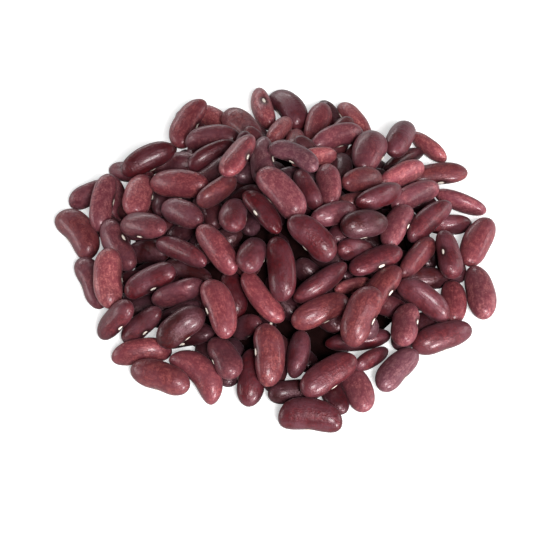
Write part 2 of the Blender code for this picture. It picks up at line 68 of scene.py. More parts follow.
# The balls that stand for a bean where beans touch: how far along it, how wide apart, how large
BALLS_ALONG = 0.38
BALLS_APART = 0.95
BALL_SHARE = 0.98

# The beans that fill the gaps, and how beans that overlap are moved apart
FILL_ROUNDS = 2
FILL_STEP = 4.0 * MM
FILL_LAYERS = 6
FILL_TOP = 4.5 * MM
FILL_DEPTH = 14.0 * MM
FILL_SHARE = 0.95
FILL_GAP = 3.9 * MM
FILL_HEADINGS = 10
FILL_CLEAR = 4.2 * MM
FILL_OUTLINE = 4.8 * MM
FILL_FLATNESS = 0.6
FILL_ROLL = 0.6
FILL_SIZES = (0.92, 1.04)
FILL_GIRTHS = (0.88, 1.05)
FILL_BOWS = (0.1, 0.8)
LOOSENING_STEPS = 60
SETTLING_STEPS = 110
CLOSING_STEPS = 200
SEEN_GIVE = 0.3
TURN_REACH = 4.2 * MM
MOST_TURN = 0.1
PUSH_SHARE = 1.6
SINK = 0.05 * MM
PAIRS_EVERY = 8
PAIR_REACH = 1.05 * BEAN_LENGTH
# How far beans go back in each step towards their first place: across the line of sight,
# less so while the heap closes up, along it, and in their lie; and how far the fill goes back
HOLD_ACROSS = 0.2
HOLD_CLOSING = 0.08
HOLD_ALONG = 0.01
HOLD_LIE = 0.06
HOLD_FILL = 0.02

# The view that the bean table is read in: from the front, looking down
VIEW_ELEVATION = math.radians(51)
VIEW_DISTANCE = 0.6
VIEW_TARGET = np.array((0.1, -8.9, 0.0)) * MM
VIEW_SCALE = 2160.0
VIEW_MIDDLE = 277.0
VIEW_RIGHT = np.array((1.0, 0.0, 0.0))
VIEW_FORWARD = np.array((0.0, math.cos(VIEW_ELEVATION), -math.sin(VIEW_ELEVATION)))
VIEW_UP = np.cross(VIEW_RIGHT, VIEW_FORWARD)
EYE = VIEW_TARGET - VIEW_DISTANCE * VIEW_FORWARD
SIGHT_START = 2 * MOUND_TOP
SIGHT_STEPS = 1200
# How far the seen beans' sizes and girths depart from the plain bean's
SEEN_SIZES = (0.86, 1.1)
SEEN_GIRTHS = (0.72, 1.22)
# The dark edge of a bean on either side, which the seen widths leave out, in pixels
SEEN_EDGE = 0.6

# Tones of the skins, as linear colour. Each seen bean's tone is set lighter or darker to make up for how
# light falls on it, so besides the skin's own colour it holds painted light and shade
INK = (0.033, 0.002, 0.001)
DARK_PLUM = (0.071, 0.005, 0.007)
PLUM = (0.099, 0.016, 0.019)
PALE_PLUM = (0.136, 0.036, 0.041)
BROWN = (0.161, 0.067, 0.075)
MAROON = (0.156, 0.036, 0.035)
RUSSET = (0.223, 0.053, 0.056)
RED = (0.233, 0.071, 0.078)
BRICK = (0.352, 0.105, 0.103)
TONES = (INK, DARK_PLUM, PLUM, PALE_PLUM, BROWN, MAROON, RUSSET, RED, BRICK)
# How common each tone is among the beans that aren't in the table, and how much bloom each carries
TONE_SHARES = (0.08, 0.16, 0.22, 0.16, 0.05, 0.12, 0.12, 0.05, 0.04)
TONE_BLOOM = (0.30, 0.34, 0.34, 0.32, 0.24, 0.22, 0.18, 0.14, 0.12)
# How far beans depart from their tone, the others and the seen ones, and the share of that
# which each colour channel has for itself
TONE_SPREAD = 0.12
SEEN_SPREAD = 0.04
CHANNEL_SHARE = 0.25
# Painted shade: beans that fill the gaps are darker the deeper they lie under the others, by this much at
# the most
DEEP_SHADE = 0.75
SHADE_DEPTH = 8.0 * MM
# How much of its tone's bloom a bean carries, how strong wrinkles are at the most, how rare
# strong ones are, and how far beans lie apart in the grains' patterns, in mm
BLOOM_RANGE = (0.5, 1.4)
MOST_WRINKLE = 0.35
WRINKLE_RARITY = 3
PATTERN_REACH = 40.0

# A grain is a noise pattern: its squeeze along, across and through a bean, how fine it is,
# its detail and its roughness. It is as fine as so many waves in a mm on the skins, and in
# a metre on the rest
Grain = namedtuple("Grain", "squeeze scale detail roughness")
EVEN = (1.0, 1.0, 1.0)
STREAKS = Grain((0.18, 1.0, 1.0), 1.8, 3.0, 0.6)
FOLDS = Grain((1.6, 0.25, 0.25), 0.9, 2.0, 0.5)
SPECKLE = Grain(EVEN, 2.4, 3.0, 0.6)
MOTTLE = Grain(EVEN, 0.75, 3.0, 0.55)
PATCHES = Grain(EVEN, 0.2, 2.0, 0.5)
EYE_GRAIN = Grain(EVEN, 1800.0, 2.0, 0.5)
CORE_GRAIN = Grain(EVEN, 260.0, 3.0, 0.5)
FLOOR_GRAIN = Grain(EVEN, 40.0, 3.0, 0.5)
CELL_SCALE = 1.0

# What a bean's tone is multiplied by where its skin is dark and where it is light
DARKER = (0.50, 0.30, 0.42, 1)
LIGHTER = (1.30, 1.35, 1.30, 1)
BLOOM_TONE = (0.20, 0.082, 0.108, 1)
# Where each grain shows: from which value of it to which, and how strongly at both
PATCHES_LIGHT = (0.42, 0.58, 0.0, 1.0)
STREAKS_DARK = (0.44, 0.62, 0.0, 0.6)
MOTTLE_DARK = (0.46, 0.58, 0.0, 0.7)
SPECKLE_DARK = (0.48, 0.58, 0.0, 0.8)
CELLS_DARK = (0.10, 0.02, 0.0, 0.35)
PATCHES_BLOOM = (0.6, 0.35, 0.2, 1.0)
SPECKLE_BLOOM = (0.35, 0.6, 0.4, 1.0)
# The roughness that speckles give the skin, and what bloom adds to it
SPECKLE_ROUGH = (0.3, 0.7, 0.29, 0.39)
BLOOM_ROUGH = (0.0, 0.6, 0.0, 0.06)
# The skin's relief: how high each grain stands in it
STREAKS_HEIGHT = 0.4
MOTTLE_HEIGHT = 0.6
SPECKLE_HEIGHT = 0.3
SKIN_BUMP = 0.30 * MM
SKIN_SHINE = {
    "Specular IOR Level": 0.38,
    "Specular Tint": (1.0, 0.62, 0.68, 1),
    "Coat Weight": 0.2,
    "Coat Roughness": 0.16,
    "Sheen Weight": 0.04,
    "Sheen Roughness": 0.4,
    "Sheen Tint": (0.9, 0.7, 0.8, 1),
}
# The dark ring around the eye
RING_SQUEEZE = (0.42, 0.75, 0.75)
RING_DARK = (0.55, 1.25, 0.85, 0.0)
RING_TONE = (0.018, 0.006, 0.007, 1)

# The eye's colours: in its middle, at its edge and in its flecks
EYE_PALE = (0.80, 0.74, 0.66, 1)
EYE_BROWN = (0.38, 0.24, 0.18, 1)
EYE_FLECK = (0.55, 0.44, 0.34, 1)
EYE_EDGE = (0.55, 1.0, 0.0, 1.0)
EYE_FLECKS = (0.35, 0.7, 0.0, 0.3)
EYE_BUMP = 0.05 * MM
EYE_RELIEF = 0.4
EYE_ROUGH = 0.6

# The core's colours, near black as painted shade with a trace of red, and its relief
CORE_BLACK = (0.004, 0.001, 0.001, 1)
CORE_RED = (0.012, 0.003, 0.003, 1)
CORE_REDDENS = (0.3, 0.7, 0.0, 1.0)
CORE_BUMP = 0.5 * MM
CORE_RELIEF = 0.6
CORE_SHINE = {"Roughness": 0.9, "Specular IOR Level": 0.05}

# The floor: as the camera sees it, and as it throws light back, which is less
FLOOR_GREY = (0.90, 0.90, 0.90, 1)
FLOOR_WHITE = (0.93, 0.93, 0.93, 1)
FLOOR_BOUNCE = (0.60, 0.60, 0.60, 1)
FLOOR_GLOW = 0.45
FLOOR_SHINE = {"Roughness": 0.9, "Specular IOR Level": 0.1, "Emission Color": (1, 1, 1, 1)}
FLOOR_HALF = 3.0

# The lights: place, width and depth in metres, and power in watts
Light = namedtuple("Light", "name place width depth power")
LIGHTS = (
    Light("main_light", (0.34, -1.20, 1.25), 0.50, 0.50, 35.0),
    Light("low_light", (0.74, -0.94, 0.18), 0.34, 0.24, 19.0),
    Light("back_light", (-0.50, 1.10, 0.30), 1.2, 0.20, 5.0),
    Light("left_light", (-1.10, 0.00, 0.25), 0.80, 0.30, 5.0),
    Light("right_light", (1.10, 0.15, 0.25), 0.80, 0.30, 4.0),
)
SURROUNDINGS = 0.075

# Bean meshes: sides around, rings along, and how far each bean's form departs from the plain one
SIDES = 24
RINGS = 20
BLUNTNESSES = (0.92, 1.12)
THICKNESSES = (0.94, 1.05)
TWIST = 0.35 * MM
# The waves that make beans lumpy: their turns along and around a bean, and their weights
LUMP = 0.03
LUMP_WAVES = ((1.0, 0, 1.0), (0.0, 2, 0.5), (2.3, 0, 0.4), (1.0, 3, 0.3))
LUMP_WEIGHT = 1.5
# The dent at the eye: its depth, the shares of that which beans have, and its reach along a bean
DENT = 0.4 * MM
DENT_SHARES = (0.3, 1.0)
DENT_REACH = 0.3
EYE_SHIFT = 0.06
# How far the lowest points stay above the ground
GROUND_GAP = 0.02 * MM

# The eye on a bean's hollow side
EYE_LENGTH = 2.3 * MM
EYE_WIDTH = 1.0 * MM
EYE_RISE = 0.14 * MM
EYE_SUNK = 0.1 * MM
EYE_SIDES = 14
EYE_RINGS = 4

# The core under the beans, dark with painted shade. It comes down to the ground over the outer share of
# its reach
CORE_DEPTH = 10.0 * MM
CORE_REACH = 40.0 * MM
CORE_RIM = 0.25
CORE_SIDES = 48
CORE_RINGS = 16
CORE_LUMP = 1.2 * MM
# Beans whose middles lie this far below the core's surface are left out
BURIED = 3.0 * MM

# The camera's sensor, in Blender's millimetres
SENSOR = 36.0

# What Blender calls the values that a mesh keeps, for each kind of them
VALUE_NAMES = {"FLOAT": "value", "FLOAT_VECTOR": "vector", "FLOAT_COLOR": "color"}
# A Mix node's sockets where it mixes colours
MIX_SHARE = 0
MIX_FIRST = 6
MIX_SECOND = 7
MIX_RESULT = 2

# A bean as seen: its middle across and down the view, the turn of its long axis with the
# hollow side on the right, its seen length and width, its roll (90 shows the hollow side,
# -90 the back), how far it lies above the mound in mm, how bent it is and its tone, which
# holds some painted light and shade besides the skin's own colour
Seen = namedtuple("Seen", "across down turn length width roll lift bow tone")
SEEN_BEANS = [Seen(*row) for row in (
    # Upper left
    (188, 125, 56, 52, 24, 30, 0, 0.9, RUSSET),
    (148, 160, 30, 59, 25, 5, 4, 0.4, DARK_PLUM),
    (132, 174, -10, 46, 18, 0, 0, 0.3, PALE_PLUM),
    (104, 203, 90, 51, 23, 0, 3, 0.3, RED),
    (93, 197, 35, 44, 22, 0, -4, 0.3, PALE_PLUM),
    (115, 201, -78, 44, 20, 0, -3, 0.3, RED),
    (139, 197, 72, 46, 28, 10, 0, 0.2, BRICK),
    (179, 185, 3, 59, 28, 0, 0, 0.1, RUSSET),
    (178, 167, -5, 50, 24, 0, -3, 0.3, PALE_PLUM),
    # Top
    (263, 110, 97, 42, 20, 80, 0, 0.2, BRICK),
    (288, 109, -48, 50, 26, 15, 0, 0.8, PLUM),
    (243, 129, -40, 46, 27, 0, -1, 0.3, MAROON),
    (214, 122, 0, 32, 22, 0, -3, 0.2, BRICK),
    (213, 139, 5, 56, 23, 0, 0, 0.8, PALE_PLUM),
    (213, 155, 24, 56, 20, -30, 1, 0.5, DARK_PLUM),
    (238, 157, 52, 52, 23, 45, 4, 0.3, RUSSET),
    (218, 192, 35, 48, 22, -50, 0, 0.2, MAROON),
    (263, 163, 97, 54, 24, 20, 0, 0.4, BROWN),
    (279, 132, 35, 40, 18, -60, -3, 0.2, BRICK),
    (296, 140, 80, 30, 16, 0, -4, 0.1, BRICK),
    (281, 194, -50, 63, 31, 0, 2, 0.4, RED),
    (295, 156, -25, 54, 20, 30, 3, 0.9, BROWN),
    (314, 158, 8, 46, 19, -20, 0, 0.2, BRICK),
    (318, 128, 75, 46, 26, 0, -3, 0.2, RUSSET),
    (337, 138, 15, 54, 23, 0, 0, 0.7, RED),
    (354, 124, -38, 50, 21, -50, -1, 0.5, BRICK),
    # Upper right
    (369, 153, 65, 41, 32, 0, 2, 0.2, PALE_PLUM),
    (400, 139, 50, 41, 26, 0, 4, 0.2, PLUM),
    (426, 150, -32, 44, 17, -60, -1, 0.2, BRICK),
    (403, 160, 14, 46, 16, -60, -3, 0.3, INK),
    (401, 176, 22, 52, 22, -20, 0, 0.2, BRICK),
    (437, 177, -5, 50, 21, 40, -1, 0.2, MAROON),
    (361, 180, 10, 40, 24, 0, 0, 0.2, MAROON),
    (379, 197, 15, 48, 21, -40, 1, 0.2, DARK_PLUM),
    (415, 197, 32, 49, 23, -20, 1, 0.2, RED),
    (460, 204, -30, 54, 18, -60, 0, 0.3, RED),
    (329, 186, -82, 42, 24, -20, 0, 0.2, RED),
    (308, 190, -56, 46, 20, -60, 0, 0.2, PLUM),
    # Middle
    (234, 216, 75, 33, 31, 0, 0, 0.2, PLUM),
    (264, 211, -50, 54, 21, 50, 0, 0.5, DARK_PLUM),
    (312, 237, -45, 60, 29, 0, 2, 0.4, DARK_PLUM),
    (334, 214, 12, 46, 22, -20, 0, 0.2, PALE_PLUM),
    (217, 249, -53, 58, 25, -40, 0, 0.4, RUSSET),
    (254, 255, 60, 35, 32, 0, 1, 0.1, PLUM),
    (280, 269, -80, 66, 28, -20, 1, 0.4, DARK_PLUM),
    (322, 284, 38, 63, 21, -80, 0, 0.1, PLUM),
    (262, 297, 127, 64, 22, -30, 0, 0.6, RUSSET),
    (218, 310, -79, 65, 29, 15, 2, 0.5, RUSSET),
    (320, 311, 28, 63, 27, 0, 1, 0.2, MAROON),
    # Right
    (364, 225, 5, 47, 30, 0, 2, 0.1, INK),
    (397, 225, 62, 46, 24, 20, 0, 0.3, RED),
    (427, 221, 37, 56, 23, -20, 1, 0.3, PLUM),
    (448, 227, -15, 44, 20, -40, -3, 0.2, PLUM),
    (475, 245, 52, 50, 28, 0, 0, 0.2, RUSSET),
    (447, 257, -72, 50, 24, 70, 0, 0.6, PLUM),
    (418, 258, 44, 56, 21, -40, 1, 0.3, MAROON),
    (479, 293, -72, 55, 28, 0, 0, 0.2, RED),
    (374, 261, 20, 56, 22, 50, -1, 0.4, PLUM),
    (357, 251, -15, 42, 24, 0, -1, 0.3, PLUM),
    (352, 286, -5, 38, 16, -40, -4, 0.2, BRICK),
    (379, 291, 58, 62, 26, 25, 0, 0.3, MAROON),
    (361, 317, 65, 62, 32, 15, 4, 0.4, MAROON),
    (424, 301, -40, 62, 25, -30, 2, 0.7, PLUM),
    (452, 303, -85, 44, 25, 0, -3, 0.3, RUSSET),
    (406, 326, 80, 44, 26, 30, 0, 0.3, RED),
    (442, 338, 12, 59, 27, 0, 0, 0.2, PLUM),
    # Lower right
    (396, 371, 50, 56, 27, 0, 0, 0.4, BROWN),
    (358, 391, -75, 48, 30, 0, 0, 0.2, RED),
    (371, 360, 35, 42, 16, -60, -3, 0.2, PLUM),
    (358, 340, 7, 67, 21, -80, -3, 0.1, DARK_PLUM),
    (328, 376, 32, 66, 30, 0, 2, 0.2, PLUM),
    # Lower middle
    (269, 356, -88, 65, 30, 25, 2, 0.4, MAROON),
    (298, 355, -98, 49, 22, -80, 0, 0.2, PLUM),
    (311, 417, -4, 65, 31, 0, 0, 0.9, DARK_PLUM),
    (295, 393, -12, 50, 23, 0, -3, 0.3, INK),
    (250, 378, -88, 61, 27, 0, 0, 0.2, DARK_PLUM),
    (226, 358, -60, 46, 28, 20, 1, 0.4, PALE_PLUM),
    (199, 374, -47, 66, 27, -10, 1, 1.7, RUSSET),
    # Deep between the others
    (246, 328, 20, 34, 22, 0, -5, 0.3, PLUM),
    (234, 294, -80, 50, 24, 0, -5, 0.3, DARK_PLUM),
    (188, 272, -20, 52, 20, 0, -5, 0.3, INK),
    (148, 254, 0, 44, 24, 0, -5, 0.3, INK),
    (426, 280, -10, 46, 22, 0, -5, 0.3, INK),
    (390, 309, -40, 46, 22, 0, -5, 0.3, PLUM),
    # Left
    (161, 378, -14, 61, 30, 0, 0, 0.2, MAROON),
    (142, 353, 22, 59, 25, -10, 0, 0.6, RUSSET),
    (181, 328, 38, 56, 29, 0, 1, 0.3, INK),
    (143, 325, 38, 50, 22, 45, 0, 0.4, PLUM),
    (116, 320, 55, 44, 23, 45, 0, 0.3, PLUM),
    (178, 294, 17, 56, 22, -60, 0, 0.3, PALE_PLUM),
    (151, 282, 22, 55, 24, 35, 1, 0.7, DARK_PLUM),
    (110, 280, 84, 61, 29, 0, 4, 0.3, BRICK),
    (94, 282, -62, 52, 26, 0, -1, 0.4, PALE_PLUM),
    (80, 235, -50, 56, 30, 0, 0, 0.9, MAROON),
    (118, 247, 111, 54, 24, 50, 0, 0.5, PALE_PLUM),
    (143, 228, -4, 47, 25, 30, 2, 0.2, PALE_PLUM),
    (182, 251, -28, 56, 21, -30, 0, 0.2, PLUM),
    (183, 214, -20, 44, 26, -10, 0, 0.1, PALE_PLUM),
)]


def unit(vectors):
    """Vectors scaled to length 1, along the last axis."""
    length = np.linalg.norm(vectors, axis=-1, keepdims=True)
    return vectors / np.maximum(length, 1e-12)


def mound_height(x, y):
    """Height of the mound's surface: rounded on top, straight down its sides."""
    far = np.sqrt((x / MOUND_HALF_WIDTH) ** 2 + (y / MOUND_HALF_DEPTH) ** 2 + MOUND_ROUNDING ** 2)
    rim = math.sqrt(1 + MOUND_ROUNDING ** 2)
    share = np.maximum((rim - far) / (rim - MOUND_ROUNDING), 0)
    return LYING_HEIGHT + (MOUND_TOP - LYING_HEIGHT) * share


def mound_normal(x, y):
    """Direction straight out of the mound's surface."""
    step = 0.5 * MM
    slope_x = (mound_height(x + step, y) - mound_height(x - step, y)) / (2 * step)
    slope_y = (mound_height(x, y + step) - mound_height(x, y - step)) / (2 * step)
    return unit(np.stack([-slope_x, -slope_y, np.ones_like(slope_x)], axis=-1))


def axes_from(heading, side):
    """A bean's three axes, as columns."""
    return np.stack([heading, side, np.cross(heading, side)], axis=-1)


def seen_place(bean):
    """Where the line of sight to a bean first meets the mound, lifted as the bean is."""
    across = VIEW_RIGHT * (bean.across - VIEW_MIDDLE)
    down = VIEW_UP * (VIEW_MIDDLE - bean.down)
    sight = unit(VIEW_FORWARD * VIEW_SCALE + across + down)
    height = np.linspace(SIGHT_START, LYING_HEIGHT, SIGHT_STEPS)
    line = EYE + sight * ((height - EYE[2]) / sight[2])[:, None]
    surface = mound_height(line[:, 0], line[:, 1]) + bean.lift * MM
    met = height <= np.maximum(surface, LYING_HEIGHT) + 1e-9
    return line[np.argmax(met)]


def seen_lie(bean, place):
    """A seen bean's axes, size and girth, from its turn, its seen length and width and its roll."""
    to_eye = unit(EYE - place)
    turn = math.radians(bean.turn)
    roll = math.radians(bean.roll)
    scale = VIEW_SCALE / np.dot(place - EYE, VIEW_FORWARD)
    full = BEAN_LENGTH * scale
    wide = scale * math.hypot(BEAN_WIDTH * math.cos(roll), BEAN_THICKNESS * math.sin(roll))
    end = scale * math.hypot(BEAN_THICKNESS * math.cos(roll), BEAN_WIDTH * math.sin(roll))
    flat = math.cos(turn) * VIEW_RIGHT + math.sin(turn) * VIEW_UP
    flat = unit(flat - np.dot(flat, to_eye) * to_eye)
    # Its size is such that it lies along the mound's slope, as far as sizes allow. Then it tilts
    normal = mound_normal(place[0], place[1])
    rise = -np.dot(flat, normal) / np.dot(to_eye, normal)
    lying = math.hypot(full, rise * end) / math.hypot(1, rise)
    size = min(max(bean.length / lying, SEEN_SIZES[0]), SEEN_SIZES[1])
    length = bean.length / size
    share = math.sqrt(min(max(length ** 2 - end ** 2, 0) / (full ** 2 - end ** 2), 1))
    heading = unit(share * flat + math.copysign(math.sqrt(1 - share ** 2), rise) * to_eye)
    face = unit(to_eye - np.dot(to_eye, heading) * heading)
    side = np.cross(heading, face)
    side = side * math.cos(roll) + face * math.sin(roll)
    girth = (bean.width + 2 * SEEN_EDGE) / (size * wide)
    girth = min(max(girth, SEEN_GIRTHS[0]), SEEN_GIRTHS[1])
    return axes_from(heading, side), size, girth


def contact_balls(heap):
    """Balls that stand for every bean where beans touch: their middles and radii."""
    end = BEAN_LENGTH / 2
    rows = []
    for x, width in ((0.0, 1.0), (BALLS_ALONG * end, BALLS_APART), (-BALLS_ALONG * end, BALLS_APART)):
        radius = BEAN_THICKNESS / 2 * (BALL_SHARE if x else 1.0)
        apart = BEAN_WIDTH / 2 * width - radius
        rows += [(x, apart, radius), (x, -apart, radius)]
    radius = BEAN_THICKNESS / 2 * BALL_SHARE
    rows += [(end - radius, 0, radius), (radius - end, 0, radius)]
    x, apart, radius = np.array(rows).T
    y = apart * heap.girth[:, None] + bow_at(x) * heap.bow[:, None]
    local = np.stack([np.broadcast_to(x, y.shape), y, np.zeros_like(y)], axis=-1)
    middles = np.einsum("nij,nkj->nki", heap.axes, local * heap.size[:, None, None])
    return heap.place[:, None] + middles, radius * (heap.girth * heap.size)[:, None]


def bow_at(x):
    """How far a bean's centre line is bent aside at x along it."""
    return BEAN_BOW * (2 * (x / (BEAN_LENGTH / 2)) ** 2 - 0.7)


def bluntness(bow):
    """How blunt a bean's ends are, from how bent it is."""
    return np.minimum(STRAIGHT_BLUNTNESS + BENT_BLUNTNESS * bow, MOST_BLUNTNESS)


def bean_ends(place, heading):
    """The two ends of the line that runs through a bean."""
    reach = heading * (BEAN_LENGTH - BEAN_THICKNESS) / 2
    return place - reach, place + reach


def line_distance(points, ends):
    """Distance from points to the line between two ends."""
    line = ends[1] - ends[0]
    along = np.clip((points - ends[0]) @ line / (line @ line), 0, 1)
    return np.linalg.norm(points - ends[0] - along[..., None] * line, axis=-1)


def in_view(points):
    """Where points appear across the view, in metres at the distance of its target."""
    offset = points - EYE
    share = VIEW_DISTANCE / (offset @ VIEW_FORWARD)
    return np.stack([offset @ VIEW_RIGHT, offset @ VIEW_UP], axis=-1) * share[..., None]


class Heap:
    """The beans' middles, axes, sizes, girths and bows. The first ones are the seen beans."""

    def __init__(self):
        self.place = np.array([seen_place(bean) for bean in SEEN_BEANS])
        lies = [seen_lie(bean, place) for bean, place in zip(SEEN_BEANS, self.place)]
        self.axes = np.array([axes for axes, _, _ in lies])
        self.size = np.array([size for _, size, _ in lies])
        self.girth = np.array([girth for _, _, girth in lies])
        self.bow = np.array([bean.bow for bean in SEEN_BEANS])
        self.aim_place = self.place.copy()
        self.aim_axes = self.axes.copy()

    def seen(self):
        """One row for each bean: whether it is a seen one."""
        return (np.arange(len(self.place)) < len(SEEN_BEANS))[:, None]

    def add(self, place, axes, size, girth, bow):
        """Puts more beans in the heap."""
        self.place = np.concatenate([self.place, place])
        self.axes = np.concatenate([self.axes, axes])
        self.size = np.concatenate([self.size, size])
        self.girth = np.concatenate([self.girth, girth])
        self.bow = np.concatenate([self.bow, bow])
        self.aim_place = np.concatenate([self.aim_place, place])
        self.aim_axes = np.concatenate([self.aim_axes, axes])

    def keep(self, kept):
        """Takes the other beans out."""
        self.place = self.place[kept]
        self.axes = self.axes[kept]
        self.size = self.size[kept]
        self.girth = self.girth[kept]
        self.bow = self.bow[kept]
        self.aim_place = self.aim_place[kept]
        self.aim_axes = self.aim_axes[kept]


def beside_seen(heap, points, reach):
    """Whether each point lies within reach of a seen bean in the view, and whether before one."""
    flat = in_view(points)
    depth = (points - EYE) @ VIEW_FORWARD
    near = np.zeros(flat.shape[:-1], dtype=bool)
    before = near.copy()
    for place, axes in zip(heap.place[:len(SEEN_BEANS)], heap.axes):
        ends = in_view(np.array(bean_ends(place, axes[:, 0])))
        beside = line_distance(flat, ends) < reach
        near |= beside
        before |= beside & (depth < (place - EYE) @ VIEW_FORWARD)
    return near, before


def hidden_or_between(heap, place, heading):
    """Whether each bean that fills a gap covers no seen bean and stays inside the seen outline."""
    covers = beside_seen(heap, place, FILL_CLEAR)[1]
    half = BEAN_THICKNESS / 2
    reaches = (heading * BEAN_LENGTH / 2, VIEW_RIGHT * half, VIEW_UP * half)
    rim = np.stack([place + side * reach for reach in reaches for side in (-1, 1)])
    return ~covers & beside_seen(heap, rim, FILL_OUTLINE)[0].all(axis=0)


def drop_outside(heap):
    """Takes out the beans that were pushed out of the seen outline or before seen beans."""
    heap.keep(heap.seen()[:, 0] | hidden_or_between(heap, heap.place, heap.axes[:, :, 0]))


def fill_gaps(heap, draw):
    """Adds beans in the widest gaps first, in layers below the mound's surface."""
    reach = int(MOUND_HALF_WIDTH / FILL_STEP) + 1
    cells = np.arange(-reach, reach + 1)
    column, row, layer = [grid.ravel() for grid in np.meshgrid(cells, cells, np.arange(FILL_LAYERS))]
    x = (column + draw.uniform(-0.5, 0.5, column.size)) * FILL_STEP
    y = (row + draw.uniform(-0.5, 0.5, row.size)) * FILL_STEP
    z = mound_height(x, y) - FILL_TOP - layer / (FILL_LAYERS - 1) * (FILL_DEPTH - FILL_TOP)
    inside = np.hypot(x / MOUND_HALF_WIDTH, y / MOUND_HALF_DEPTH) < FILL_SHARE
    z = np.maximum(z, LYING_HEIGHT)
    spots = np.repeat(np.stack([x, y, z], axis=1)[inside], FILL_HEADINGS, axis=0)
    normals = mound_normal(spots[:, 0], spots[:, 1])
    headings = draw.normal(0, 1, spots.shape)
    steep = np.sum(headings * normals, axis=1, keepdims=True) * normals
    headings -= FILL_FLATNESS * steep
    headings[spots[:, 2] <= LYING_HEIGHT, 2] = 0
    headings = unit(headings)
    along = np.array([-1, 0, 1]) * (BEAN_LENGTH - BEAN_THICKNESS) / 2
    samples = spots[:, None] + headings[:, None] * along[:, None]
    gap = np.full(len(spots), np.inf)
    gap[samples[:, :, 2].min(axis=1) < LYING_HEIGHT] = 0
    gap[~hidden_or_between(heap, spots, headings)] = 0
    for place, axes in zip(heap.place, heap.axes):
        gap = np.minimum(gap, line_distance(samples, bean_ends(place, axes[:, 0])).min(axis=1))
    chosen = []
    while gap.max() > FILL_GAP:
        best = gap.argmax()
        chosen.append(best)
        taken = bean_ends(spots[best], headings[best])
        gap = np.minimum(gap, line_distance(samples, taken).min(axis=1))
    heading = headings[chosen]
    side = unit(np.cross(normals[chosen], heading))
    roll = draw.normal(0, FILL_ROLL, len(chosen))[:, None]
    side = side * np.cos(roll) + np.cross(heading, side) * np.sin(roll)
    forms = [draw.uniform(*span, len(chosen)) for span in (FILL_SIZES, FILL_GIRTHS, FILL_BOWS)]
    heap.add(spots[chosen], axes_from(heading, side), *forms)


def deepest_contacts(middles, radii, first, second):
    """For each pair of beans that overlap, the two balls that overlap most."""
    apart = np.linalg.norm(middles[first][:, :, None] - middles[second][:, None], axis=-1)
    overlap = (radii[first][:, :, None] + radii[second][:, None] - apart).reshape(len(first), -1)
    worst = overlap.argmax(axis=1)
    depth = overlap[np.arange(len(first)), worst]
    hit = depth > 0
    ball_a, ball_b = np.divmod(worst[hit], middles.shape[1])
    return first[hit], second[hit], ball_a, ball_b, depth[hit]


class Pushes:
    """The pushes on every bean in one step: moves, turns and how many there are."""

    def __init__(self, heap):
        self.give = np.where(heap.seen()[:, 0], SEEN_GIVE, 1.0)
        self.middle = heap.place
        self.move = np.zeros_like(heap.place)
        self.spin = np.zeros_like(heap.place)
        self.count = np.zeros(len(heap.place))

    def yielding(self, bean, point, along):
        """How readily a bean gives way when it is pushed at a point."""
        lever = np.cross(point - self.middle[bean], along)
        return self.give[bean] * (1 + np.sum(lever ** 2, axis=1) / TURN_REACH ** 2)

    def add(self, bean, point, along, amount):
        """Pushes beans along a direction, each at its point."""
        amount = (amount * self.give[bean])[:, None]
        np.add.at(self.move, bean, amount * along)
        np.add.at(self.spin, bean, amount * np.cross(point - self.middle[bean], along) / TURN_REACH ** 2)
        np.add.at(self.count, bean, 1)


def push_apart(heap, middles, radii, first, second):
    """The pushes that part overlapping beans and lift them off the ground."""
    pushes = Pushes(heap)
    bean_a, bean_b, ball_a, ball_b, depth = deepest_contacts(middles, radii, first, second)
    end_a = middles[bean_a, ball_a]
    end_b = middles[bean_b, ball_b]
    along = unit(end_a - end_b)
    point = (end_a + end_b) / 2
    amount = depth / (pushes.yielding(bean_a, point, along) + pushes.yielding(bean_b, point, along))
    pushes.add(bean_a, point, along, amount)
    pushes.add(bean_b, point, -along, amount)
    sunk = radii - middles[:, :, 2]
    lowest = sunk.argmax(axis=1)
    bean = np.nonzero(sunk.max(axis=1) > 0)[0]
    point = middles[bean, lowest[bean]]
    up = np.tile((0.0, 0.0, 1.0), (len(bean), 1))
    amount = 2 * sunk[bean, lowest[bean]] / pushes.yielding(bean, point, up)
    pushes.add(bean, point, up, amount)
    return pushes


def turned(axes, spin):
    """Axes turned about the direction of each spin, by its length in radians."""
    angle = np.linalg.norm(spin, axis=1)[:, None, None]
    x, y, z = unit(spin).T
    none = np.zeros_like(x)
    cross = np.array([[none, -z, y], [z, none, -x], [-y, x, none]]).transpose(2, 0, 1)
    return (np.eye(3) + np.sin(angle) * cross + (1 - np.cos(angle)) * (cross @ cross)) @ axes


def settle(heap, steps, hold):
    """Moves overlapping beans apart, the seen ones mostly along the line of sight."""
    pairs = np.triu_indices(len(heap.place), 1)
    to_eye = unit(EYE - heap.aim_place)
    for step in range(steps):
        if step % PAIRS_EVERY == 0:
            near = np.linalg.norm(heap.place[pairs[0]] - heap.place[pairs[1]], axis=1) < PAIR_REACH
            first, second = pairs[0][near], pairs[1][near]
        middles, radii = contact_balls(heap)
        pushes = push_apart(heap, middles, radii, first, second)
        share = PUSH_SHARE / np.maximum(pushes.count, 2)[:, None]
        place = heap.place + share * pushes.move
        astray = heap.aim_place - place
        deep = np.sum(astray * to_eye, axis=1, keepdims=True) * to_eye
        seen_back = hold * (astray - deep) + HOLD_ALONG * deep
        back = np.where(heap.seen(), seen_back, HOLD_FILL * astray)
        tilt = sum(np.cross(heap.axes[:, :, axis], heap.aim_axes[:, :, axis]) for axis in range(3)) / 2
        spin = share * pushes.spin + np.where(heap.seen(), HOLD_LIE, 0) * tilt
        spin *= np.minimum(1, MOST_TURN / np.maximum(np.linalg.norm(spin, axis=1, keepdims=True), 1e-12))
        # Beans sink along the line of sight. Rounded, so that every machine gives the same heap
        heap.place = np.round(place + back - SINK * to_eye, 9)
        heap.axes = np.round(turned(heap.axes, spin), 9)


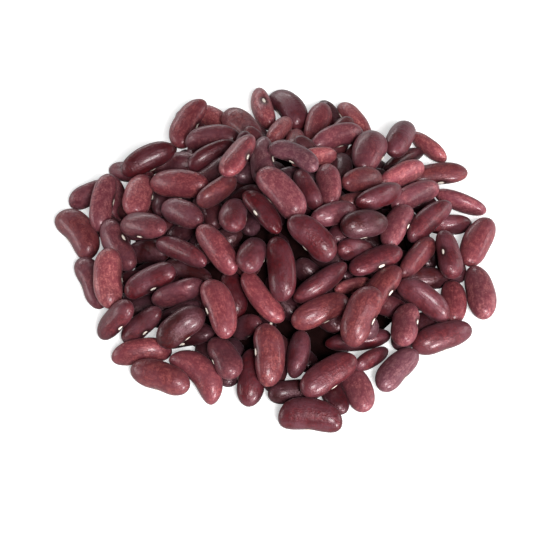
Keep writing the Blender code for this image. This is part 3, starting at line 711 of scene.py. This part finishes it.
def poured_heap(draw):
    """The seen beans and those between and under them, lying against one another."""
    heap = Heap()
    settle(heap, LOOSENING_STEPS, HOLD_ACROSS)
    for _ in range(FILL_ROUNDS):
        fill_gaps(heap, draw)
        settle(heap, SETTLING_STEPS, HOLD_ACROSS)
        drop_outside(heap)
    settle(heap, CLOSING_STEPS, HOLD_CLOSING)
    drop_outside(heap)
    return heap


class Forms:
    """How each bean's form departs from the plain one, one value for each bean."""

    def __init__(self, heap, draw):
        count = len(heap.place)
        self.bow = heap.bow[:, None]
        self.taper = draw.uniform(*TAPERS, count)[:, None]
        self.bluntness = bluntness(self.bow) * draw.uniform(*BLUNTNESSES, count)[:, None]
        self.width = heap.girth[:, None]
        self.thickness = heap.girth[:, None] * draw.uniform(*THICKNESSES, count)[:, None]
        self.dent = draw.uniform(*DENT_SHARES, count)[:, None]
        self.eye_at = draw.uniform(-EYE_SHIFT, EYE_SHIFT, count)[:, None]
        self.phase = draw.uniform(0, math.tau, (len(LUMP_WAVES), count, 1))
        self.twist = draw.normal(0, TWIST, count)[:, None]


def lumpiness(form, along, around):
    """How much thicker than the plain bean each bean is, from waves along and around it."""
    waves = []
    for (turns_along, turns_around, weight), phase in zip(LUMP_WAVES, form.phase):
        waves.append(weight * np.sin(turns_along * math.pi * along + turns_around * around + phase))
    return 1 + LUMP * sum(waves) / LUMP_WEIGHT


def skin_points(form, along, around):
    """Places on the beans' skins in each bean's own axes, from shares along it and angles around it."""
    girth = np.sqrt(np.maximum(1 - np.abs(along) ** form.bluntness, 0)) * (1 + form.taper * along)
    lump = lumpiness(form, along, around)
    inner = np.maximum(np.cos(around), 0) ** 2
    dent = DENT * form.dent * np.exp(-((along - form.eye_at) / DENT_REACH) ** 2) * inner
    x = along * BEAN_LENGTH / 2
    y = np.cos(around) * girth * lump * form.width * BEAN_WIDTH / 2 - dent + form.bow * bow_at(x)
    z = np.sin(around) * girth * lump * form.thickness * BEAN_THICKNESS / 2 + form.twist * along ** 2
    return np.stack(np.broadcast_arrays(x, y, z), axis=-1)


def in_heap(heap, points):
    """Places in each bean's own axes, as places in the heap, none under the ground."""
    placed = np.einsum("nij,nmj->nmi", heap.axes, points * heap.size[:, None, None]) + heap.place[:, None]
    placed[..., 2] = np.maximum(placed[..., 2], GROUND_GAP)
    return placed


def joined_mesh(name, points, faces):
    """One mesh of many copies of the same faces, with smooth shading."""
    count, corners = points.shape[:2]
    every = []
    for first in range(0, count * corners, corners):
        every += [tuple(first + corner for corner in face) for face in faces]
    mesh = bpy.data.meshes.new(name)
    mesh.from_pydata(points.reshape(-1, 3).tolist(), [], every)
    mesh.polygons.foreach_set("use_smooth", [True] * len(mesh.polygons))
    mesh.update()
    return mesh


def add_values(mesh, name, kind, values):
    """Keeps a value for every vertex of a mesh, for its material to read."""
    attribute = mesh.attributes.new(name, kind, "POINT")
    attribute.data.foreach_set(VALUE_NAMES[kind], np.ascontiguousarray(values, dtype=np.float32).ravel())


def ring_faces(sides, rings, closed):
    """Faces of rings between a first point and, where closed, a last one."""
    faces = []
    for side in range(sides):
        after = (side + 1) % sides
        faces.append((0, 1 + after, 1 + side))
        for ring in range(rings - 1):
            low = 1 + ring * sides
            high = low + sides
            faces.append((low + side, low + after, high + after, high + side))
        if closed:
            top = 1 + (rings - 1) * sides
            faces.append((top + side, top + after, top + sides))
    return faces


def depth_in_heap(heap):
    """How far each bean's middle lies below the mound's surface."""
    return mound_height(heap.place[:, 0], heap.place[:, 1]) - heap.place[:, 2]


def bean_tones(draw, count):
    """The number of each bean's tone: the seen ones' from the table."""
    seen = [TONES.index(bean.tone) for bean in SEEN_BEANS]
    others = draw.choice(len(TONES), count - len(seen), p=TONE_SHARES)
    return np.concatenate([seen, others])


def bean_colours(heap, tone, draw):
    """Each bean's colour: its tone, a little off, and with painted shade, darker deep under the others.
    """
    count = len(tone)
    spread = np.where(heap.seen(), SEEN_SPREAD, TONE_SPREAD)
    overall = spread * draw.normal(0, 1, (count, 1))
    channels = spread * CHANNEL_SHARE * draw.normal(0, 1, (count, 3))
    # Painted shade: the beans that fill the gaps darken with their depth under the mound's surface
    deep = np.where(heap.seen(), 0, np.clip(depth_in_heap(heap)[:, None] / SHADE_DEPTH, 0, 1))
    colour = np.array(TONES)[tone] * np.exp(overall + channels) * (1 - DEEP_SHADE * deep)
    return np.concatenate([colour, np.ones((count, 1))], axis=1)


def make_beans(heap, form, draw):
    """All the beans as one mesh, with what their skins read."""
    count = len(heap.place)
    along = -np.cos(math.pi * np.arange(1, RINGS) / RINGS)
    around = np.arange(SIDES) * math.tau / SIDES
    along = np.concatenate([[-1], np.repeat(along, SIDES), [1]])
    around = np.concatenate([[0], np.tile(around, RINGS - 1), [0]])
    points = skin_points(form, along, around)
    mesh = joined_mesh("kidney_beans", in_heap(heap, points), ring_faces(SIDES, RINGS - 1, True))
    corners = points.shape[1]
    tone = bean_tones(draw, count)
    colour = bean_colours(heap, tone, draw)
    bloom = np.array(TONE_BLOOM)[tone] * draw.uniform(*BLOOM_RANGE, count)
    eye = skin_points(form, form.eye_at, np.zeros((1, 1)))
    chance = draw.uniform(0, PATTERN_REACH, (count, 3))
    wrinkle = MOST_WRINKLE * draw.uniform(0, 1, count) ** WRINKLE_RARITY
    add_values(mesh, "from_eye", "FLOAT_VECTOR", (points - eye) / MM)
    add_values(mesh, "chance", "FLOAT_VECTOR", np.repeat(chance, corners, axis=0))
    add_values(mesh, "tone", "FLOAT_COLOR", np.repeat(colour, corners, axis=0))
    add_values(mesh, "bloom", "FLOAT", np.repeat(bloom, corners))
    add_values(mesh, "wrinkle", "FLOAT", np.repeat(wrinkle, corners))
    return mesh


def make_eyes(heap, form):
    """The pale eyes on the beans' hollow sides as one mesh of low domes."""
    reach = np.arange(1, EYE_RINGS + 1) / EYE_RINGS
    around = np.arange(EYE_SIDES) * math.tau / EYE_SIDES
    reach = np.concatenate([[0], np.repeat(reach, EYE_SIDES)])
    around = np.concatenate([[0], np.tile(around, EYE_RINGS)])
    across = reach * np.cos(around) * EYE_LENGTH / 2
    aside = reach * np.sin(around) * EYE_WIDTH / 2
    along = form.eye_at + across / (BEAN_LENGTH / 2)
    half = form.thickness * BEAN_THICKNESS / 2
    points = skin_points(form, along, np.arcsin(np.clip(aside / half, -1, 1)))
    points[..., 1] += (EYE_RISE + EYE_SUNK) * (1 - reach ** 2) ** 0.5 - EYE_SUNK
    mesh = joined_mesh("bean_eyes", in_heap(heap, points), ring_faces(EYE_SIDES, EYE_RINGS, False))
    add_values(mesh, "reach", "FLOAT", np.tile(reach, len(points)))
    return mesh


def make_core(draw):
    """The mound under the beans, dark with painted shade, lumpy as beans are and flat underneath."""
    reach = np.arange(1, CORE_RINGS + 1) / CORE_RINGS
    around = np.arange(CORE_SIDES) * math.tau / CORE_SIDES
    reach = np.concatenate([[0], np.repeat(reach, CORE_SIDES)])
    around = np.concatenate([[0], np.tile(around, CORE_RINGS)])
    x = reach * np.cos(around) * CORE_REACH
    y = reach * np.sin(around) * CORE_REACH
    height = mound_height(x, y) - CORE_DEPTH + draw.uniform(-1, 1, x.size) * CORE_LUMP
    height *= np.minimum(1, (1 - reach) / CORE_RIM)
    points = np.stack([x, y, np.maximum(height, GROUND_GAP)], axis=-1)
    points = np.concatenate([points, [(0, 0, GROUND_GAP)]])
    return joined_mesh("heap_core", points[None], ring_faces(CORE_SIDES, CORE_RINGS, True))


class Shading:
    """The nodes of one material."""

    def __init__(self, name):
        self.material = bpy.data.materials.new(name)
        self.material.use_nodes = True
        self.tree = self.material.node_tree
        self.shader = self.tree.nodes["Principled BSDF"]

    def put(self, socket, value):
        """Links a node's output to a socket, or sets the socket."""
        if isinstance(value, bpy.types.NodeSocket):
            self.tree.links.new(value, socket)
        else:
            socket.default_value = value

    def put_all(self, values):
        """Links or sets several of the shader's own sockets."""
        for name, value in values.items():
            self.put(self.shader.inputs[name], value)

    def node(self, kind, inputs, output=0, **settings):
        """A new node's output."""
        made = self.tree.nodes.new(kind)
        for name, value in settings.items():
            setattr(made, name, value)
        for socket, value in inputs.items():
            self.put(made.inputs[socket], value)
        return made.outputs[output]

    def kept(self, name, output="Fac"):
        """A value kept with the mesh."""
        return self.node("ShaderNodeAttribute", {}, output, attribute_name=name)

    def place(self):
        """The place on the object, in metres."""
        return self.node("ShaderNodeTexCoord", {}, "Object")

    def maths(self, kind, first, second, third=0.0):
        """The result of a sum on two or three values."""
        return self.node("ShaderNodeMath", {0: first, 1: second, 2: third}, operation=kind)

    def vector(self, kind, first, second):
        """The result of a sum on two vectors."""
        return self.node("ShaderNodeVectorMath", {0: first, 1: second}, operation=kind)

    def grain(self, place, grain):
        """A noise pattern, squeezed as the grain is."""
        inputs = {
            "Vector": self.vector("MULTIPLY", place, grain.squeeze),
            "Scale": grain.scale,
            "Detail": grain.detail,
            "Roughness": grain.roughness,
        }
        return self.node("ShaderNodeTexNoise", inputs)

    def span(self, value, low, high, to_low, to_high):
        """A value brought from one span to another, held within it."""
        inputs = {"Value": value, "From Min": low, "From Max": high, "To Min": to_low, "To Max": to_high}
        return self.node("ShaderNodeMapRange", inputs, clamp=True)

    def blend(self, share, first, second, kind="MIX"):
        """Two colours mixed."""
        made = self.tree.nodes.new("ShaderNodeMix")
        made.data_type = "RGBA"
        made.blend_type = kind
        for socket, value in ((MIX_SHARE, share), (MIX_FIRST, first), (MIX_SECOND, second)):
            self.put(made.inputs[socket], value)
        return made.outputs[MIX_RESULT]

    def bump(self, height, strength, distance):
        """A normal bent by a relief of some height."""
        inputs = {"Height": height, "Strength": strength, "Distance": distance}
        return self.node("ShaderNodeBump", inputs)


def bean_skin():
    """Satin skins: each bean's own tone, streaks along it, mottling, bloom and a dark ring at its eye."""
    skin = Shading("bean_skin")
    from_eye = skin.kept("from_eye", "Vector")
    place = skin.vector("ADD", from_eye, skin.kept("chance", "Vector"))
    streaks = skin.grain(place, STREAKS)
    speckle = skin.grain(place, SPECKLE)
    mottle = skin.grain(place, MOTTLE)
    patches = skin.grain(place, PATCHES)
    inputs = {"Vector": place, "Scale": CELL_SCALE}
    cells = skin.node("ShaderNodeTexVoronoi", inputs, feature="DISTANCE_TO_EDGE")
    tone = skin.kept("tone", "Color")
    dark = skin.blend(1.0, tone, DARKER, "MULTIPLY")
    light = skin.blend(1.0, tone, LIGHTER, "MULTIPLY")
    colour = skin.blend(skin.span(patches, *PATCHES_LIGHT), tone, light)
    darkened = ((streaks, STREAKS_DARK), (mottle, MOTTLE_DARK), (speckle, SPECKLE_DARK))
    for pattern, shows in darkened + ((cells, CELLS_DARK),):
        colour = skin.blend(skin.span(pattern, *shows), colour, dark)
    bloom = skin.maths("MULTIPLY", skin.kept("bloom"), skin.span(patches, *PATCHES_BLOOM))
    bloom = skin.maths("MULTIPLY", bloom, skin.span(speckle, *SPECKLE_BLOOM))
    colour = skin.blend(bloom, colour, BLOOM_TONE)
    ring = skin.vector("MULTIPLY", from_eye, RING_SQUEEZE)
    ring = skin.node("ShaderNodeVectorMath", {0: ring}, "Value", operation="LENGTH")
    colour = skin.blend(skin.span(ring, *RING_DARK), colour, RING_TONE)
    rough = skin.maths("ADD", skin.span(speckle, *SPECKLE_ROUGH), skin.span(bloom, *BLOOM_ROUGH))
    height = skin.maths("MULTIPLY", skin.grain(place, FOLDS), skin.kept("wrinkle"))
    height = skin.maths("MULTIPLY_ADD", streaks, STREAKS_HEIGHT, height)
    height = skin.maths("MULTIPLY_ADD", mottle, MOTTLE_HEIGHT, height)
    height = skin.maths("MULTIPLY_ADD", speckle, SPECKLE_HEIGHT, height)
    skin.put_all({"Base Color": colour, "Roughness": rough, "Normal": skin.bump(height, 1.0, SKIN_BUMP)})
    skin.put_all(SKIN_SHINE)
    return skin.material


def eye_skin():
    """The eyes: pale cream, a little darker and browner at their edge."""
    skin = Shading("bean_eye")
    grain = skin.grain(skin.place(), EYE_GRAIN)
    edge = skin.span(skin.kept("reach"), *EYE_EDGE)
    colour = skin.blend(edge, EYE_PALE, EYE_BROWN)
    colour = skin.blend(skin.span(grain, *EYE_FLECKS), colour, EYE_FLECK)
    bump = skin.bump(grain, EYE_RELIEF, EYE_BUMP)
    skin.put_all({"Base Color": colour, "Normal": bump, "Roughness": EYE_ROUGH})
    return skin.material


def core_shade_skin():
    """The core: painted shade, nearly black as the shaded gaps between beans are, with a trace of red."""
    skin = Shading("heap_core")
    grain = skin.grain(skin.place(), CORE_GRAIN)
    colour = skin.blend(skin.span(grain, *CORE_REDDENS), CORE_BLACK, CORE_RED)
    skin.put_all({"Base Color": colour, "Normal": skin.bump(grain, CORE_RELIEF, CORE_BUMP)})
    skin.put_all(CORE_SHINE)
    return skin.material


def floor_skin():
    """The pale floor. It looks white, and throws little light back up under the beans."""
    skin = Shading("pale_floor")
    white = skin.blend(skin.grain(skin.place(), FLOOR_GRAIN), FLOOR_GREY, FLOOR_WHITE)
    seen = skin.node("ShaderNodeLightPath", {}, "Is Camera Ray")
    skin.put_all({
        "Base Color": skin.blend(seen, FLOOR_BOUNCE, white),
        "Emission Strength": skin.maths("MULTIPLY", seen, FLOOR_GLOW),
    })
    skin.put_all(FLOOR_SHINE)
    return skin.material


def add_piece(mesh, material):
    """Puts a piece of the heap in the scene, riding on its body."""
    mesh.materials.append(material)
    piece = bpy.data.objects.new(mesh.name, mesh)
    bpy.context.scene.collection.objects.link(piece)
    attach(piece, "root")
    return piece


def make_floor():
    """A wide plain floor."""
    corners = [(x * FLOOR_HALF, y * FLOOR_HALF, 0) for x, y in ((-1, -1), (1, -1), (1, 1), (-1, 1))]
    mesh = bpy.data.meshes.new("floor")
    mesh.from_pydata(corners, [], [(0, 1, 2, 3)])
    mesh.materials.append(floor_skin())
    floor = bpy.data.objects.new("floor", mesh)
    bpy.context.scene.collection.objects.link(floor)


def make_camera():
    """The photograph's view."""
    camera = bpy.data.objects.new("camera", bpy.data.cameras.new("camera"))
    camera.data.sensor_width = SENSOR
    camera.data.lens = SENSOR * VIEW_SCALE / (2 * VIEW_MIDDLE)
    camera.location = EYE
    camera.rotation_euler = (math.pi / 2 - VIEW_ELEVATION, 0, 0)
    bpy.context.scene.collection.objects.link(camera)
    bpy.context.scene.camera = camera


def add_light(light):
    """A soft rectangular light that faces the heap."""
    area = bpy.data.lights.new(light.name, "AREA")
    area.shape = "RECTANGLE"
    area.size = light.width
    area.size_y = light.depth
    area.energy = light.power
    lamp = bpy.data.objects.new(light.name, area)
    lamp.location = light.place
    x, y, z = light.place
    lamp.rotation_euler = (math.atan2(math.hypot(x, y), z), 0, math.atan2(x, -y))
    bpy.context.scene.collection.objects.link(lamp)


def make_lights():
    """Dim white surroundings and the soft lights around the heap."""
    world = bpy.data.worlds.new("surroundings")
    bpy.context.scene.world = world
    world.use_nodes = True
    background = world.node_tree.nodes["Background"]
    background.inputs["Color"].default_value = (1, 1, 1, 1)
    background.inputs["Strength"].default_value = SURROUNDINGS
    for light in LIGHTS:
        add_light(light)


def main():
    """Makes the whole scene."""
    make_camera()
    draw = np.random.default_rng(SEED)
    heap = poured_heap(draw)
    heap.keep(heap.seen()[:, 0] | (depth_in_heap(heap) < CORE_DEPTH + BURIED))
    form = Forms(heap, draw)
    beans = add_piece(make_beans(heap, form, draw), bean_skin())
    add_piece(make_eyes(heap, form), eye_skin())
    add_piece(make_core(draw), core_shade_skin())
    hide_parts("bean_heap")
    make_floor()
    make_lights()
    bpy.context.scene.view_settings.view_transform = "Standard"


main()
